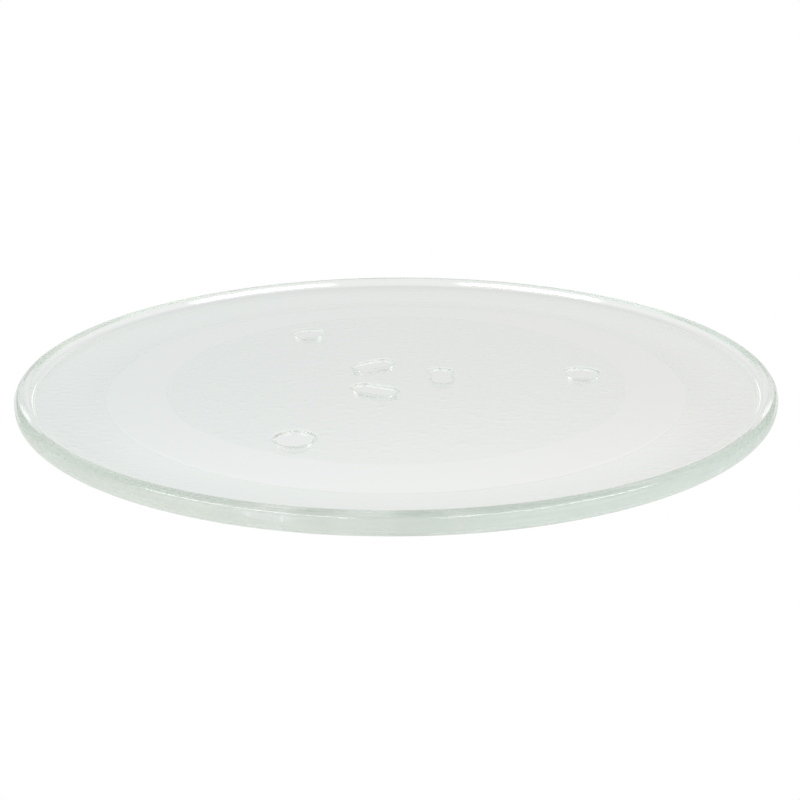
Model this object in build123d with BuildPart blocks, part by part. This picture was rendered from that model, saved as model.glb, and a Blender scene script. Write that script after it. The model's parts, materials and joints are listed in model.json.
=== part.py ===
"""Microwave turntable plate, pressed in one piece of glass.

A shallow round dish of even thickness with a thick rounded rim. Its underside has a smooth track for a roller ring,
three oblong drive lugs round the middle and three round feet on a wider circle.
Origin: on the axis, in the plane that the feet stand on, with +Z up. Millimetres and degrees.
"""

import os
from math import atan2, pi, radians, sin, tan

from build123d import *

# Dish
plate_diameter = 288.0  # over the rim
floor_thickness = 5.0  # of the floor and of the gently sloping wall
wall_run = 14.2  # level distance from the floor to the foot of the rim's inner side
wall_rise = 3.3
rim_width = 6.8  # from the plate's outer edge to the foot of the rim's inner side
rim_step = 3.2  # from the wall's upper edge up to the rim's top
rim_inner_angle = 55.0  # slope of the rim's inner side
draft = 8.0  # lean of the lugs and the feet, which frees them from the mould

# Roundings of the dish, where the runs beside them have room
floor_bend_radius = 90.0  # between the floor and the wall, on the inside
rim_bottom_radius = 3.7
rim_top_radius = 2.6
rim_inner_radius = 2.4
rim_foot_radius = 2.0
run_share = 0.95  # most of a straight run that the roundings at its ends may take together

# Roller track, a smooth ring that stands proud of the underside
track_inset = 11.07  # from the middle of the underside's bend to the track
track_width = 22.4
track_height = 0.15
track_step_angle = 45.0

# Drive lugs and feet
support_count = 3  # lugs and feet alike
support_turn = 2.3  # first lug and first foot, from the +X axis
lug_circle_diameter = 36.0
lug_length = 18.5
lug_width = 9.0
lug_height = 3.0
foot_inset = 15.2  # from the track's inner edge to the circle of the feet's centres
foot_diameter = 13.6
foot_height = 3.2
tip_radius = 0.8
root_radius = 0.6

# Levels and radii that follow
underside = max(foot_height, lug_height)
floor_top = underside + floor_thickness
wall_top = floor_top + wall_rise
rim_top = wall_top + rim_step
plate_radius = plate_diameter / 2
rim_foot = plate_radius - rim_width
rim_slope = radians(rim_inner_angle)
rim_inner_edge = rim_foot + rim_step / tan(rim_slope)
floor_radius = rim_foot - wall_run
wall_angle = atan2(wall_rise, wall_run)  # in radians
base_radius = floor_radius + floor_thickness * tan(wall_angle / 2)  # the outside runs parallel to the wall
rim_bottom = underside + (plate_radius - base_radius) * tan(wall_angle)
track_outer_radius = base_radius - track_inset
track_inner_radius = track_outer_radius - track_width
foot_circle_radius = track_inner_radius - foot_inset
support_overlap = floor_thickness / 2  # lugs and feet run this far up into the floor

# Roundings of the rim, which ease together where one of its faces is too short for them
bottom_setback = rim_bottom_radius * tan(pi / 4 - wall_angle / 2)  # what a rounding takes from the faces beside it
inner_setback = rim_inner_radius * tan(rim_slope / 2)
foot_setback = rim_foot_radius * tan((rim_slope - wall_angle) / 2)
side_use = (bottom_setback + rim_top_radius) / (rim_top - rim_bottom)
top_use = (rim_top_radius + inner_setback) / (plate_radius - rim_inner_edge)
inner_use = (inner_setback + foot_setback) / (rim_step / sin(rim_slope))
rim_ease = min(1, run_share / max(side_use, top_use, inner_use))

os.makedirs("parts", exist_ok=True)

with BuildPart() as plate:
    # Turned section of the dish
    with BuildSketch(Plane.XZ):
        with BuildLine():
            section = FilletPolyline(
                (0, underside),
                (base_radius, underside),
                (plate_radius, rim_bottom),
                (plate_radius, rim_top),
                (rim_inner_edge, rim_top),
                (rim_foot, wall_top),
                (floor_radius, floor_top),
                (0, floor_top),
                radius=[
                    floor_bend_radius + floor_thickness,
                    rim_ease * rim_bottom_radius,
                    rim_ease * rim_top_radius,
                    rim_ease * rim_inner_radius,
                    rim_ease * rim_foot_radius,
                    floor_bend_radius,
                ],
            )
            Line(section @ 1, section @ 0)
        make_face()
    revolve(axis=Axis.Z)

    # Roller track
    with BuildSketch(Plane.XY.offset(underside)):
        Circle(track_outer_radius)
        Circle(track_inner_radius, mode=Mode.SUBTRACT)
    extrude(amount=-track_height, taper=track_step_angle)

    # Drive lugs, each square to its radius
    with BuildSketch(Plane.XY.offset(underside - lug_height)):
        with PolarLocations(lug_circle_diameter / 2, support_count, start_angle=support_turn):
            SlotOverall(lug_length, lug_width, rotation=90)
    extrude(amount=lug_height + support_overlap, taper=-draft)
    lug_edges = plate.edges(Select.LAST).group_by(Axis.Z)
    lug_tips = lug_edges[0]
    lug_roots = lug_edges[-1]

    # Feet
    with BuildSketch(Plane.XY.offset(underside - foot_height)):
        with PolarLocations(foot_circle_radius, support_count, start_angle=support_turn):
            Circle(foot_diameter / 2)
    extrude(amount=foot_height + support_overlap, taper=-draft)
    foot_edges = plate.edges(Select.LAST).group_by(Axis.Z)
    foot_tips = foot_edges[0]
    foot_roots = foot_edges[-1]

    # Rounded tips and roots of lugs and feet
    fillet(lug_tips + foot_tips, tip_radius)
    fillet(lug_roots + foot_roots, root_radius)

plate.part.label = "turntable_plate"
export_step(plate.part, "parts/turntable_plate.step")
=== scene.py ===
"""Looks of a microwave turntable plate in pressed glass, laid out as a Blender add-on.

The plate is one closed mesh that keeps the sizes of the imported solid: a turned dish with a thick rounded rim,
and an underside with a smooth roller track, drive lugs, feet and a stippled relief. The studio is a white
sweep in soft light. All lengths are in metres.
"""

import json
import math

import bmesh
import bpy
import numpy as np
from mathutils import Matrix, Vector, noise
from mathutils.geometry import delaunay_2d_cdt


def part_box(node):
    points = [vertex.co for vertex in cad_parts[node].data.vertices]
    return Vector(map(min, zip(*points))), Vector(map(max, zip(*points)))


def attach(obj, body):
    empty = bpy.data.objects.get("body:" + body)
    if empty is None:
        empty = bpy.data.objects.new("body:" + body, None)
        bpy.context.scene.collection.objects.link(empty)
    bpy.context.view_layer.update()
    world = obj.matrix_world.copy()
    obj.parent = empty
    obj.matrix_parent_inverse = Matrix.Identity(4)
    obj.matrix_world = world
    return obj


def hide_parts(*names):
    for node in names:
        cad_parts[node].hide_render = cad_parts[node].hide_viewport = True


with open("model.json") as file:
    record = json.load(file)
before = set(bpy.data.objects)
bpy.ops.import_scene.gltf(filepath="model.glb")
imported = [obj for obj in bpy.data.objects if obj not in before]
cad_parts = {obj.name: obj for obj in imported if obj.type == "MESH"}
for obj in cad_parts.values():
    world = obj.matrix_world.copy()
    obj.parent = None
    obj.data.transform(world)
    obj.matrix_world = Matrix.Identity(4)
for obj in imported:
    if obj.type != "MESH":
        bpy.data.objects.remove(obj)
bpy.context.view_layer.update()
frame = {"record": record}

bl_info = {
    "name": "Turntable Plate",
    "version": (1, 0, 0),
    "blender": (4, 5, 0),
    "location": "3D View > Sidebar > Plate",
    "description": "Builds a microwave turntable plate in pressed glass and a white studio for it",
    "category": "Add Mesh",
}

MM = 0.001
NODE = "turntable_plate"
PLATE_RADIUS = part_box(NODE)[1].x
RIM_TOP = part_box(NODE)[1].z
MOUNT_PLACES = {mount["name"]: mount["pos_m"] for mount in frame["record"]["mounts"]}
FLOOR_TOP = MOUNT_PLACES["dish_floor"][2]
UNDERSIDE = MOUNT_PLACES["drive_lugs"][2]
TRACK_LEVEL = MOUNT_PLACES["roller_track"][2]

# Fineness of the mesh
SEGMENTS = 512
GRID_SPACING = 1.0 * MM
RIM_GUARD = 0.15 * MM
RIM_ARC_STEP = math.radians(7.5)
WELD_DISTANCE = 1e-6
CREASE_ANGLE = math.radians(30)


def length(name, description, millimetres):
    """A length that the user can change, with its default in millimetres."""
    return bpy.props.FloatProperty(
        name=name, description=description, default=millimetres * MM, unit="LENGTH", precision=4
    )


def angle(name, description, degrees):
    """An angle that the user can change, with its default in degrees."""
    return bpy.props.FloatProperty(
        name=name, description=description, default=math.radians(degrees), subtype="ANGLE"
    )


def number(name, description, default):
    """A plain number that the user can change."""
    return bpy.props.FloatProperty(name=name, description=description, default=default, precision=3)


def count(name, description, default):
    """A whole number that the user can change."""
    return bpy.props.IntProperty(name=name, description=description, default=default, min=1)


def colour(name, description, default):
    """A linear colour that the user can change."""
    return bpy.props.FloatVectorProperty(
        name=name, description=description, default=default, subtype="COLOR", size=3, min=0.0, max=1.0
    )


class DishSizes(bpy.types.PropertyGroup):
    """The turned section of the dish and its rim."""

    rim_width: length("Rim Width", "From the plate's outer edge to the foot of the rim's inner side", 6.8)
    rim_step: length("Rim Step", "From the wall's upper edge up to the rim's top", 3.2)
    rim_inner_angle: angle("Rim Inner Angle", "Slope of the rim's inner side", 55.0)
    rim_bottom_radius: length("Rim Bottom Radius", "Rounding of the rim's lower outer edge", 3.7)
    rim_top_radius: length("Rim Top Radius", "Rounding of the rim's upper outer edge", 2.6)
    rim_inner_radius: length("Rim Inner Radius", "Rounding of the rim's upper inner edge", 2.4)
    rim_foot_radius: length("Rim Foot Radius", "Hollow where the rim's inner side meets the wall", 2.0)
    wall_run: length("Wall Run", "Level distance from the rim's foot to the floor", 14.2)
    floor_bend_radius: length("Floor Bend Radius", "Hollow between the floor and the wall", 90.0)


class UndersideSizes(bpy.types.PropertyGroup):
    """What the underside carries: the roller track, the drive lugs, the feet and the stipple."""

    track_inset: length("Track Inset", "From the middle of the underside's bend to the roller track", 11.07)
    track_width: length("Track Width", "Width of the roller track over its two steps", 22.4)
    support_count: count("Supports", "Number of drive lugs, and of feet", 3)
    support_turn: angle("Support Turn", "First lug and foot, from the X axis", 2.3)
    lug_circle: length("Lug Circle", "Diameter of the circle of the lugs' centres", 36.0)
    lug_length: length("Lug Length", "Along the circle, at the tip", 18.5)
    lug_width: length("Lug Width", "Across the circle, at the tip", 9.0)
    lug_height: length("Lug Height", "From the underside down to the lug's tip", 3.0)
    foot_inset: length("Foot Inset", "From the track's inner edge to the circle of the feet", 15.2)
    foot_diameter: length("Foot Diameter", "At the tip", 13.6)
    foot_height: length("Foot Height", "From the underside down to the foot's tip", 3.2)
    tip_radius: length("Tip Radius", "Rounding of the tips of lugs and feet", 0.8)
    root_radius: length("Root Radius", "Hollow where lugs and feet meet the underside", 0.6)
    draft: angle("Draft", "Lean of the lugs and the feet", 8.0)
    stipple_grain: length("Stipple Grain", "Size of one grain of the stipple", 2.0)
    middle_depth: length("Middle Stipple Depth", "Of the stipple inside the track", 0.0045)
    border_depth: length("Border Stipple Depth", "Of the stipple outside the track", 0.012)
    pit_depth: length("Pit Depth", "Of the scattered deeper pits in the stipple", 0.03)


class GlassFinish(bpy.types.PropertyGroup):
    """The glass itself, the marks that pressing leaves on it, and the painted shade on its stippled faces."""

    tint: colour("Tint", "Colour of the light that a unit of depth lets through", (0.575, 0.73, 0.59))
    tint_density: number("Tint Density", "Absorption in one metre of glass", 1.6)
    index: number("Refractive Index", "Soda-lime glass", 1.52)
    # Painted shade: the stippled faces get a darker, greener base colour that stands in for the light the
    # stipple scatters away
    stipple_tint: colour("Stipple Tint", "Light that the stippled faces let through", (0.94, 0.96, 0.94))
    stipple_roughness: number("Stipple Roughness", "Fine matt skin of the stippled faces", 0.08)
    grit_size: length("Grit Size", "Finest grain of the stippled faces", 0.7)
    grit_depth: length("Grit Depth", "Depth of that grain", 0.003)
    wave_size: length("Wave Size", "Length of the faint waves in the pressed faces", 9.0)
    wave_depth: length("Wave Depth", "Depth of those waves", 0.013)
    wipe_scale: number("Wipe Scale", "Dulled patches in one metre of glass", 40.0)
    polish_roughness: number("Polish Roughness", "Most that wiping has dulled the smooth faces", 0.015)


class StudioSetup(bpy.types.PropertyGroup):
    """Camera, floor and light."""

    camera_back: length("Camera Back", "Level distance from the plate's axis to the camera", 395.2)
    camera_height: length("Camera Height", "Above the plate's underside", 133.6)
    camera_pitch: angle("Camera Pitch", "Downward tilt", 19.54)
    camera_yaw: angle("Camera Yaw", "Turn to the right", 0.198)
    camera_roll: angle("Camera Roll", "Turn about the line of sight", -0.251)
    camera_lens: number("Camera Lens", "Focal length in millimetres on a 36 mm sensor", 46.72)
    paper_colour: colour("Paper", "White sweep that the camera sees", (1.0, 1.0, 1.0))
    cool_colour: colour("Cool Light", "Tint of the room on the left", (0.965, 1.0, 0.99))
    warm_colour: colour("Warm Light", "Tint of the room on the right", (1.0, 1.0, 0.978))
    room_level: number("Room Level", "Brightness of the room, with the paper at one", 0.86)
    horizon_level: number("Horizon Level", "Brightness of the room low down", 0.77)
    under_level: number("Table Level Below", "Brightness of the table right below the plate", 0.87)
    near_level: number("Near Table Level", "Brightness of the table close to the plate", 0.88)
    far_level: number("Far Table Level", "Brightness of the table far behind the plate", 0.795)
    ceiling_level: number("Ceiling Level", "Brightness straight above", 0.55)
    box_level: number("Soft Box Level", "Brightness of the two soft boxes beside the camera", 1.15)
    box_turn: angle("Soft Box Turn", "Each box stands this far round from the camera", 45.0)
    box_lift: angle("Soft Box Lift", "Height of the boxes above the horizon", 15.0)
    box_spread: angle("Soft Box Spread", "From a box's middle to its edge", 26.0)
    glint_level: number("Glint Light Level", "Brightness of the two low lights behind the plate", 1.2)
    glint_turn: angle("Glint Light Turn", "Each of them stands this far round from the camera", 140.0)
    glint_lift: angle("Glint Light Lift", "Their height above the horizon", -5.0)
    glint_spread: angle("Glint Light Spread", "From such a light's middle to its edge", 8.0)
    lamp_level: number("Lamp Level", "Brightness of the two strip lamps overhead", 8.0)
    lamp_turn: angle("Lamp Turn", "Each lamp hangs this far round from the camera", 56.0)
    lamp_lift: angle("Lamp Lift", "Height of the lamps above the horizon", 52.5)
    lamp_slant: angle("Lamp Slant", "Turn of each lamp's length towards the back", 45.4)
    lamp_length: angle("Lamp Length", "From a lamp's middle to its end", 26.0)
    lamp_width: angle("Lamp Width", "From a lamp's middle to its long edge", 3.0)


class Reading:
    """A socket in a shader expression. Sums and products of readings and numbers add Math nodes."""

    def __init__(self, graph, socket):
        self.graph = graph
        self.socket = socket

    def math(self, operation, *terms):
        return self.graph.node("ShaderNodeMath", {"operation": operation}, dict(enumerate(terms)))["Value"]

    def __add__(self, other):
        return self.math("ADD", self, other)

    __radd__ = __add__

    def __sub__(self, other):
        return self.math("SUBTRACT", self, other)

    def __rsub__(self, other):
        return self.math("SUBTRACT", other, self)

    def __mul__(self, other):
        return self.math("MULTIPLY", self, other)

    def __pow__(self, other):
        return self.math("POWER", self, other)

    def __abs__(self):
        return self.math("ABSOLUTE", self)

    def rise(self, low, high):
        """0 at low, 1 at high and an even rise between them. Low may be the greater."""
        sockets = {"Value": self, "From Min": low, "From Max": high}
        return self.graph.node("ShaderNodeMapRange", {"interpolation_type": "SMOOTHSTEP"}, sockets)["Result"]


class Outputs:
    """The outputs of a node, as readings by name or number."""

    def __init__(self, graph, node):
        self.graph = graph
        self.node = node

    def __getitem__(self, name):
        return Reading(self.graph, self.node.outputs[name])


class Graph:
    """A node tree that is filled by one method."""

    def __init__(self, tree):
        self.tree = tree
        tree.nodes.clear()

    def node(self, kind, settings=None, sockets=None):
        """Adds a node, sets its settings, then sets or links its sockets, and returns its outputs."""
        made = self.tree.nodes.new(kind)
        for name, value in (settings or {}).items():
            setattr(made, name, value)
        for name, value in (sockets or {}).items():
            if isinstance(value, Reading):
                self.tree.links.new(value.socket, made.inputs[name])
            else:
                made.inputs[name].default_value = value
        return Outputs(self, made)


class Shell:
    """Points and faces of the plate's skin, gathered patch by patch."""

    def __init__(self):
        self.points = []
        self.faces = []

    def add(self, points, faces):
        start = len(self.points)
        self.points.extend(map(tuple, points))
        self.faces.extend([start + corner for corner in face] for face in faces)

    def add_turned(self, profile):
        """A skin turned about the Z axis from (radius, level) pairs, closed to a point at a radius of nil."""
        rings = [ring_of(radius, level) for radius, level in profile]
        for (inner, outer), (radius, _) in zip(zip(rings, rings[1:]), profile[1:]):
            if radius > 0:
                self.add_band(inner, outer)
            else:
                fan = [(i, (i + 1) % SEGMENTS, SEGMENTS) for i in range(SEGMENTS)]
                self.add(np.vstack([inner, outer[:1]]), fan)

    def add_band(self, first, second):
        """A closed band of four-sided faces between two loops of as many points."""
        n = len(first)
        faces = [(i, (i + 1) % n, n + (i + 1) % n, n + i) for i in range(n)]
        self.add(np.vstack([first, second]), faces)

    def to_object(self, name):
        """One mesh object, welded where patches meet, closed, and smooth apart from its creases."""
        mesh = bpy.data.meshes.new(name)
        mesh.from_pydata(self.points, [], self.faces)
        skin = bmesh.new()
        skin.from_mesh(mesh)
        bmesh.ops.remove_doubles(skin, verts=skin.verts, dist=WELD_DISTANCE)
        bmesh.ops.recalc_face_normals(skin, faces=skin.faces)
        open_edges = sum(len(edge.link_faces) != 2 for edge in skin.edges)
        skin.to_mesh(mesh)
        skin.free()
        if open_edges:
            raise RuntimeError(f"{name} is not closed: {open_edges} edges don't join two faces")
        mesh.shade_smooth()
        mesh.set_sharp_from_angle(angle=CREASE_ANGLE)
        made = bpy.data.objects.new(name, mesh)
        bpy.context.scene.collection.objects.link(made)
        return made


def ring_of(radius, level, segments=SEGMENTS):
    """Points of a level circle about the Z axis."""
    around = 2 * math.pi * np.arange(segments) / segments
    return np.column_stack([radius * np.cos(around), radius * np.sin(around), np.full(segments, level)])


def rounded_path(corners, radii, arc_step, guard):
    """Points along straight runs joined by arcs. Guard points beside the arcs keep the runs flat."""
    corners = [np.array(corner, float) for corner in corners]
    runs = [[corners[0]]]
    for before, corner, after, radius in zip(corners, corners[1:], corners[2:], radii):
        incoming = (corner - before) / np.linalg.norm(corner - before)
        outgoing = (after - corner) / np.linalg.norm(after - corner)
        turn = math.atan2(incoming[0] * outgoing[1] - incoming[1] * outgoing[0], incoming @ outgoing)
        start = corner - incoming * radius * math.tan(abs(turn) / 2)
        centre = start + math.copysign(radius, turn) * np.array([-incoming[1], incoming[0]])
        arc = []
        for share in np.linspace(0, 1, math.ceil(abs(turn) / arc_step) + 1):
            c, s = math.cos(turn * share), math.sin(turn * share)
            arc.append(centre + np.array([[c, -s], [s, c]]) @ (start - centre))
        runs.append(arc)
    runs.append([corners[-1]])
    path = []
    for arc, following in zip(runs, runs[1:]):
        straight = following[0] - arc[-1]
        span = np.linalg.norm(straight)
        inset = straight / span * min(guard, span / 3)
        path.extend(arc)
        path.extend([arc[-1] + inset, following[0] - inset])
    return path[:1] + path[2:-1] + runs[-1]


def smooth_step(low, high, value):
    """0 below low, 1 above high and an even rise between them."""
    share = np.clip((value - low) / (high - low), 0, 1)
    return share * share * (3 - 2 * share)


class Support:
    """A drive lug or a foot on the underside: a slot outline with draft, rounded at tip and root."""

    CAP_STEPS = 28
    ARC_STEP = math.radians(12)
    GUARD = 0.12 * MM

    def __init__(self, circle_radius, turn, slot_length, slot_width, height, sizes):
        self.radial = np.array([math.cos(turn), math.sin(turn)])
        self.centre = self.radial * circle_radius
        self.along = np.array([-math.sin(turn), math.cos(turn)])
        self.half_run = (slot_length - slot_width) / 2
        self.half_width = slot_width / 2
        self.tip_level = UNDERSIDE - height
        lean = height * math.tan(sizes.draft)
        corners = [(-self.half_width, 0), (0, 0), (lean, height), (lean + self.half_width, height)]
        profile = rounded_path(corners, [sizes.tip_radius, sizes.root_radius], self.ARC_STEP, self.GUARD)
        self.profile = profile[1:-2]
        self.root_offset = self.profile[-1][0]

    def outline(self, offset, level):
        """The slot's outline at an offset from its tip outline, as points at one level."""
        radius = self.half_width + offset
        turns = np.linspace(-math.pi / 2, math.pi / 2, self.CAP_STEPS + 1)
        half = np.column_stack([self.half_run + radius * np.cos(turns), radius * np.sin(turns)])
        side_steps = round(2 * self.half_run / GRID_SPACING)
        if side_steps:
            side = np.linspace(self.half_run, -self.half_run, side_steps + 1)[1:-1]
            half = np.vstack([half, np.column_stack([side, np.full(len(side), radius)])])
        else:
            half = half[:-1]
        local = np.vstack([half, -half])
        flat = self.centre + local[:, :1] * self.along + local[:, 1:] * self.radial
        return np.column_stack([flat, np.full(len(flat), level)])

    def distance(self, flat):
        """How far points of the underside lie outside the support's root."""
        local = flat - self.centre
        beyond = np.maximum(np.abs(local @ self.along) - self.half_run, 0)
        return np.hypot(beyond, local @ self.radial) - self.half_width - self.root_offset

    def add_to(self, shell):
        """Adds the sides and the flat tip."""
        loops = [self.outline(offset, self.tip_level + rise) for offset, rise in self.profile]
        for lower, upper in zip(loops, loops[1:]):
            shell.add_band(lower, upper)
        shell.add(loops[0], [range(len(loops[0]))])


def grid_points(radius, spacing):
    """Points of a grid of even triangles over a disc."""
    row_step = spacing * math.sqrt(3) / 2
    rows = []
    for row in range(-int(radius / row_step), int(radius / row_step) + 1):
        x = np.arange(-radius, radius, spacing) + (row % 2) * spacing / 2
        rows.append(np.column_stack([x, np.full(len(x), row * row_step)]))
    return np.vstack(rows)


def stippled_patch(shell, inner_radius, outer_radius, supports, relief):
    """A ring or disc of the underside round its supports, at the levels that the relief function gives."""
    loops = [ring_of(outer_radius, UNDERSIDE)[:, :2]]
    if inner_radius > 0:
        loops.append(ring_of(inner_radius, UNDERSIDE)[:, :2])
    loops.extend(support.outline(support.root_offset, UNDERSIDE)[:, :2] for support in supports)

    def clearance(flat):
        """How far points lie inside the patch's edges."""
        from_axis = np.hypot(*flat.T)
        gaps = [outer_radius - from_axis] + [support.distance(flat) for support in supports]
        if inner_radius > 0:
            gaps.append(from_axis - inner_radius)
        return np.min(gaps, axis=0)

    grid = grid_points(outer_radius, GRID_SPACING)
    grid = grid[clearance(grid) > 0.6 * GRID_SPACING]
    flat = np.vstack(loops + [grid])
    edges = []
    start = 0
    for loop in loops:
        edges.extend((start + i, start + (i + 1) % len(loop)) for i in range(len(loop)))
        start += len(loop)
    found = delaunay_2d_cdt([Vector(point) for point in flat], edges, [], 1, 1e-9, False)
    points = np.array([tuple(point) for point in found[0]])
    triangles = np.array(found[2])
    middles = points[triangles].mean(axis=1)
    triangles = triangles[clearance(middles) > 0.0001 * MM]
    level = UNDERSIDE + relief(points, clearance(points))
    shell.add(np.column_stack([points, level]), triangles.tolist())


def stipple_relief(grain, depth, pit_depth):
    """A function that gives how far the glass is pressed in at points of the underside: grain and pits."""
    grain_slice = 0.37
    pit_slice = 7.61

    def clouds(points, slice_height):
        return np.array([noise.noise(Vector((x / grain, y / grain, slice_height))) for x, y in points])

    def relief(points, clear):
        bumps = clouds(points, grain_slice)
        spots = clouds(points, pit_slice)
        hollow = depth * smooth_step(-0.45, 0.45, -bumps) + pit_depth * smooth_step(0.4, 0.65, spots)
        return hollow * smooth_step(0, 0.6 * grain, clear)

    return relief


def wall_angle(dish):
    """Slope of the wall between the floor and the rim."""
    return math.atan2(RIM_TOP - dish.rim_step - FLOOR_TOP, dish.wall_run)


def base_radius(dish):
    """Radius at which the underside bends up, so that wall and floor have one thickness."""
    floor_radius = PLATE_RADIUS - dish.rim_width - dish.wall_run
    return floor_radius + (FLOOR_TOP - UNDERSIDE) * math.tan(wall_angle(dish) / 2)


def track_radii(dish, under):
    """Inner and outer radius of the roller track, over its two steps."""
    outer = base_radius(dish) - under.track_inset
    return outer - under.track_width, outer


def build_plate(dish, under, name):
    """The plate's whole skin as one object."""
    slope = wall_angle(dish)
    rim_foot = PLATE_RADIUS - dish.rim_width
    base_bottom = base_radius(dish)
    track_inner, track_outer = track_radii(dish, under)
    step = UNDERSIDE - TRACK_LEVEL
    shell = Shell()

    # Turned section, from the track's outer edge over the rim to the middle of the floor
    corners = [
        (track_outer, UNDERSIDE),
        (base_bottom, UNDERSIDE),
        (PLATE_RADIUS, UNDERSIDE + (PLATE_RADIUS - base_bottom) * math.tan(slope)),
        (PLATE_RADIUS, RIM_TOP),
        (rim_foot + dish.rim_step / math.tan(dish.rim_inner_angle), RIM_TOP),
        (rim_foot, RIM_TOP - dish.rim_step),
        (rim_foot - dish.wall_run, FLOOR_TOP),
        (0, FLOOR_TOP),
    ]
    radii = [
        dish.floor_bend_radius + FLOOR_TOP - UNDERSIDE,
        dish.rim_bottom_radius,
        dish.rim_top_radius,
        dish.rim_inner_radius,
        dish.rim_foot_radius,
        dish.floor_bend_radius,
    ]
    profile = rounded_path(corners, radii, RIM_ARC_STEP, RIM_GUARD)
    rim_setback = dish.rim_bottom_radius * math.tan(math.pi / 4 - slope / 2)
    rim_start = PLATE_RADIUS - rim_setback * math.cos(slope)
    seam = next(k for k, (radius, _) in enumerate(profile) if radius > rim_start - 2 * RIM_GUARD)
    shell.add_turned(profile[seam:])

    # Roller track
    track = [(track_outer, UNDERSIDE), (track_outer - step, TRACK_LEVEL)]
    track += [(track_inner + step, TRACK_LEVEL), (track_inner, UNDERSIDE)]
    shell.add_turned(track)

    # Drive lugs and feet
    supports = []
    foot_circle = track_inner - under.foot_inset
    for k in range(under.support_count):
        turn = under.support_turn + 2 * math.pi * k / under.support_count
        lug = (under.lug_circle / 2, turn, under.lug_length, under.lug_width, under.lug_height)
        foot = (foot_circle, turn, under.foot_diameter, under.foot_diameter, under.foot_height)
        supports.append(Support(*lug, under))
        supports.append(Support(*foot, under))
    for support in supports:
        support.add_to(shell)

    # Stippled faces, level inside the track and rising with the wall outside it
    middle = stipple_relief(under.stipple_grain, under.middle_depth, under.pit_depth)
    border = stipple_relief(under.stipple_grain, under.border_depth, under.pit_depth)
    outside = rounded_path(corners[:4], radii[:2], math.radians(0.5), RIM_GUARD)
    outside = np.array([point for point in outside if point[0] <= rim_start])

    def rising_border(points, clear):
        return border(points, clear) + np.interp(np.hypot(*points.T), *outside.T) - UNDERSIDE

    stippled_patch(shell, 0, track_inner, supports, middle)
    stippled_patch(shell, track_outer, profile[seam][0], [], rising_border)
    return shell.to_object(name)


def glass_material(finish, track):
    """Clear pressed glass with faint waves, green in its depth and matt where it is stippled, with painted
    shade darkening the stippled faces.
    """
    material = bpy.data.materials.new("pressed_glass")
    material.use_nodes = True
    graph = Graph(material.node_tree)
    place = graph.node("ShaderNodeTexCoord")["Object"]
    parts = graph.node("ShaderNodeSeparateXYZ", None, {"Vector": place})
    radius = (parts["X"] ** 2 + parts["Y"] ** 2) ** 0.5
    level = parts["Z"]
    inner, outer = track
    edge = 0.3 * MM
    in_middle = radius.rise(inner + edge, inner) * level.rise(UNDERSIDE - 0.5 * MM, UNDERSIDE - 0.2 * MM)
    on_border = radius.rise(outer - edge, outer)
    stippled = (in_middle + on_border) * level.rise(FLOOR_TOP - 0.7 * MM, FLOOR_TOP - 1.0 * MM)

    def clouds(scale, detail):
        sockets = {"Vector": place, "Scale": scale, "Detail": detail}
        return graph.node("ShaderNodeTexNoise", {"noise_dimensions": "3D"}, sockets)["Fac"]

    grit = clouds(1 / finish.grit_size, 1.0)
    waves = clouds(1 / finish.wave_size, 2.0)
    wiped = clouds(finish.wipe_scale, 4.0)
    height = waves * finish.wave_depth + grit * stippled * finish.grit_depth
    bump = {"Strength": 1.0, "Distance": 1.0, "Height": height}
    relief = graph.node("ShaderNodeBump", None, bump)["Normal"]
    # Base colour: white, with painted shade (darker and greener) on the stippled faces for the light the
    # stipple scatters away
    clear = graph.node(
        "ShaderNodeMix",
        {"data_type": "RGBA"},
        {"Factor": stippled, 6: (1, 1, 1, 1), 7: (*finish.stipple_tint, 1)},
    )[2]
    dulled = wiped.rise(0.52, 0.75) * finish.polish_roughness
    surface = graph.node(
        "ShaderNodeBsdfPrincipled",
        None,
        {
            "Base Color": clear,
            "Roughness": dulled + stippled * finish.stipple_roughness,
            "Normal": relief,
            "IOR": finish.index,
            "Transmission Weight": 1.0,
        },
    )
    depth = graph.node(
        "ShaderNodeVolumeAbsorption", None, {"Color": (*finish.tint, 1), "Density": finish.tint_density}
    )
    graph.node(
        "ShaderNodeOutputMaterial", None, {"Surface": surface["BSDF"], "Volume": depth["Volume"]}
    )
    return material


class PLATE_OT_press(bpy.types.Operator):
    """Press the plate in glass"""

    bl_idname = "plate.press"
    bl_label = "Press Plate"

    def execute(self, context):
        scene = context.scene
        plate = build_plate(scene.dish_sizes, scene.underside_sizes, "glass_plate")
        track = track_radii(scene.dish_sizes, scene.underside_sizes)
        plate.data.materials.append(glass_material(scene.glass_finish, track))
        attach(plate, "root")
        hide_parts(NODE)
        return {"FINISHED"}


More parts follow.
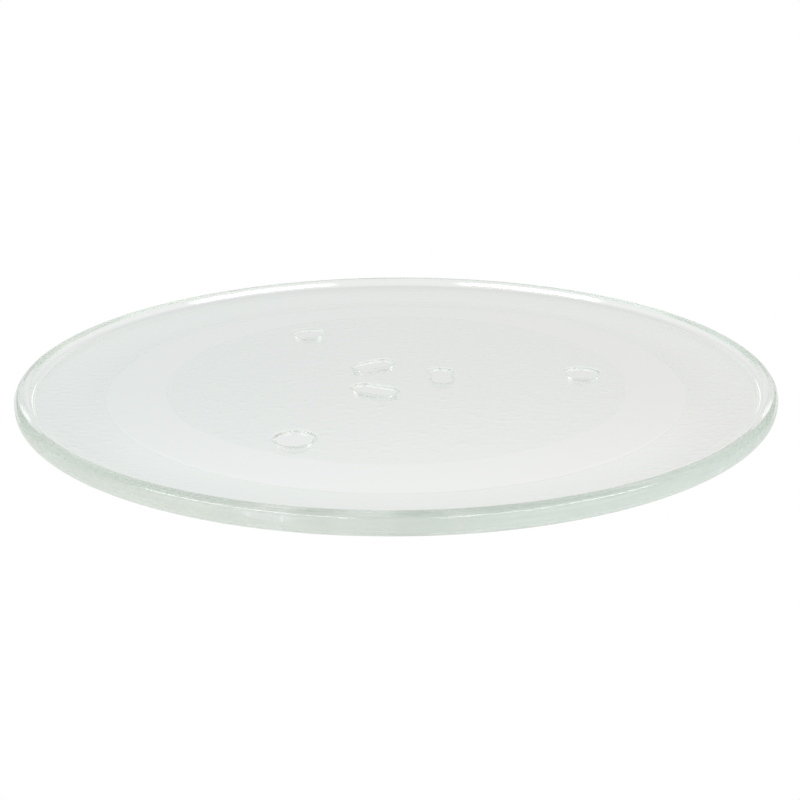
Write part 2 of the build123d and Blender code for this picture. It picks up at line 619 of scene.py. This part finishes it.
class PLATE_OT_studio(bpy.types.Operator):
    """Set the white paper sweep, the soft light and the camera"""

    bl_idname = "plate.studio"
    bl_label = "Set Studio"

    def execute(self, context):
        setup = context.scene.studio_setup
        self.lay_paper(context.scene, setup)
        self.light_room(context.scene, setup)
        self.place_camera(context.scene, setup)
        self.set_render(context.scene)
        return {"FINISHED"}

    def lay_paper(self, scene, setup):
        """A round white sweep, level below the plate and curved up all round. Only the camera sees it."""
        reach = 4.0
        bend = 2.0
        segments = 96
        corners = [(0, 0), (reach, 0), (reach, reach)]
        profile = rounded_path(corners, [bend], math.radians(6), 0.1)
        shell = Shell()
        rings = [ring_of(radius, level, segments) for radius, level in profile[1:]]
        shell.add(rings[0], [range(segments)])
        for lower, upper in zip(rings, rings[1:]):
            shell.add_band(lower, upper)
        mesh = bpy.data.meshes.new("paper")
        mesh.from_pydata(shell.points, [], shell.faces)
        paper = bpy.data.objects.new("paper", mesh)
        scene.collection.objects.link(paper)
        material = bpy.data.materials.new("white_paper")
        material.use_nodes = True
        graph = Graph(material.node_tree)
        surface = graph.node("ShaderNodeEmission", None, {"Color": (*setup.paper_colour, 1), "Strength": 1.0})
        graph.node("ShaderNodeOutputMaterial", None, {"Surface": surface["Emission"]})
        mesh.materials.append(material)
        paper.visible_diffuse = False
        paper.visible_glossy = False
        paper.visible_transmission = False
        paper.visible_shadow = False

    def light_room(self, scene, setup):
        """Soft light all round in levels that fade into each other, with three lights on each side.

        Those are a soft box beside the camera, a low light behind the plate and a strip lamp overhead.
        """
        scene.world = bpy.data.worlds.new("soft_room")
        scene.world.use_nodes = True
        graph = Graph(scene.world.node_tree)
        towards = graph.node("ShaderNodeTexCoord")["Generated"]
        parts = graph.node("ShaderNodeSeparateXYZ", None, {"Vector": towards})
        # Each level fades in between two heights, given as sines of the angle above the horizon
        fades = (
            (-0.6, -0.43, setup.near_level),
            (-0.43, -0.3, setup.far_level),
            (-0.1, 0.1, setup.horizon_level),
            (0.2, 0.45, setup.room_level),
            (0.48, 0.85, setup.ceiling_level),
        )
        level = setup.under_level
        for low, high, following in fades:
            level = level + parts["Z"].rise(low, high) * (following - level)

        def along(direction):
            sockets = {0: towards, 1: direction}
            return graph.node("ShaderNodeVectorMath", {"operation": "DOT_PRODUCT"}, sockets)["Value"]

        def spot(middle, spread):
            return along(middle).rise(math.cos(spread * 1.15), math.cos(spread * 0.85))

        def sky(side, turn, lift):
            flat = math.cos(lift)
            return Vector((side * flat * math.sin(turn), -flat * math.cos(turn), math.sin(lift)))

        for side in (-1, 1):
            box = spot(sky(side, setup.box_turn, setup.box_lift), setup.box_spread)
            level = level + box * (setup.box_level - level)
            glint = spot(sky(side, setup.glint_turn, setup.glint_lift), setup.glint_spread)
            level = level + glint * (setup.glint_level - level)
            middle = sky(side, setup.lamp_turn, setup.lamp_lift)
            run = Vector((side * math.cos(setup.lamp_slant), math.sin(setup.lamp_slant), 0))
            across = along(middle.cross(run).normalized())
            narrow = abs(across).rise(1.4 * setup.lamp_width, 0.6 * setup.lamp_width)
            level = level + spot(middle, setup.lamp_length) * narrow * (setup.lamp_level - level)
        tint = graph.node(
            "ShaderNodeMix",
            {"data_type": "RGBA"},
            {"Factor": parts["X"].rise(-0.4, 0.4), 6: (*setup.cool_colour, 1), 7: (*setup.warm_colour, 1)},
        )[2]
        room = graph.node("ShaderNodeBackground", None, {"Color": tint, "Strength": level})
        graph.node("ShaderNodeOutputWorld", None, {"Surface": room["Background"]})

    def place_camera(self, scene, setup):
        """The camera at the photograph's viewing angle."""
        data = bpy.data.cameras.new("camera")
        data.lens = setup.camera_lens
        data.sensor_width = 36.0
        data.clip_start = 0.01
        camera = bpy.data.objects.new("camera", data)
        camera.matrix_world = (
            Matrix.Translation((0, -setup.camera_back, UNDERSIDE + setup.camera_height))
            @ Matrix.Rotation(-setup.camera_yaw, 4, "Z")
            @ Matrix.Rotation(math.pi / 2 - setup.camera_pitch, 4, "X")
            @ Matrix.Rotation(setup.camera_roll, 4, "Z")
        )
        scene.collection.objects.link(camera)
        scene.camera = camera

    def set_render(self, scene):
        """Enough bounces for light that runs round inside the rim, which would end black without them."""
        scene.view_settings.view_transform = "Standard"
        scene.cycles.use_denoising = True
        scene.cycles.max_bounces = 256
        scene.cycles.transmission_bounces = 256
        scene.cycles.glossy_bounces = 256
        scene.cycles.sample_clamp_indirect = 2.0


class PLATE_PT_panel(bpy.types.Panel):
    """Lists the plate's sizes, its glass, the studio and the two steps that build them"""

    bl_label = "Turntable Plate"
    bl_idname = "PLATE_PT_panel"
    bl_space_type = "VIEW_3D"
    bl_region_type = "UI"
    bl_category = "Plate"

    def draw(self, context):
        for owner, _ in SETTINGS:
            settings = getattr(context.scene, owner)
            box = self.layout.box()
            for name in settings.__annotations__:
                box.prop(settings, name)
        self.layout.operator(PLATE_OT_press.bl_idname)
        self.layout.operator(PLATE_OT_studio.bl_idname)


SETTINGS = (
    ("dish_sizes", DishSizes),
    ("underside_sizes", UndersideSizes),
    ("glass_finish", GlassFinish),
    ("studio_setup", StudioSetup),
)
CLASSES = tuple(group for _, group in SETTINGS) + (PLATE_OT_press, PLATE_OT_studio, PLATE_PT_panel)


def register():
    for cls in CLASSES:
        bpy.utils.register_class(cls)
    for owner, group in SETTINGS:
        setattr(bpy.types.Scene, owner, bpy.props.PointerProperty(type=group))


def unregister():
    for owner, _ in SETTINGS:
        delattr(bpy.types.Scene, owner)
    for cls in reversed(CLASSES):
        bpy.utils.unregister_class(cls)


def main():
    register()
    bpy.ops.plate.press()
    bpy.ops.plate.studio()


if __name__ == "__main__":
    main()
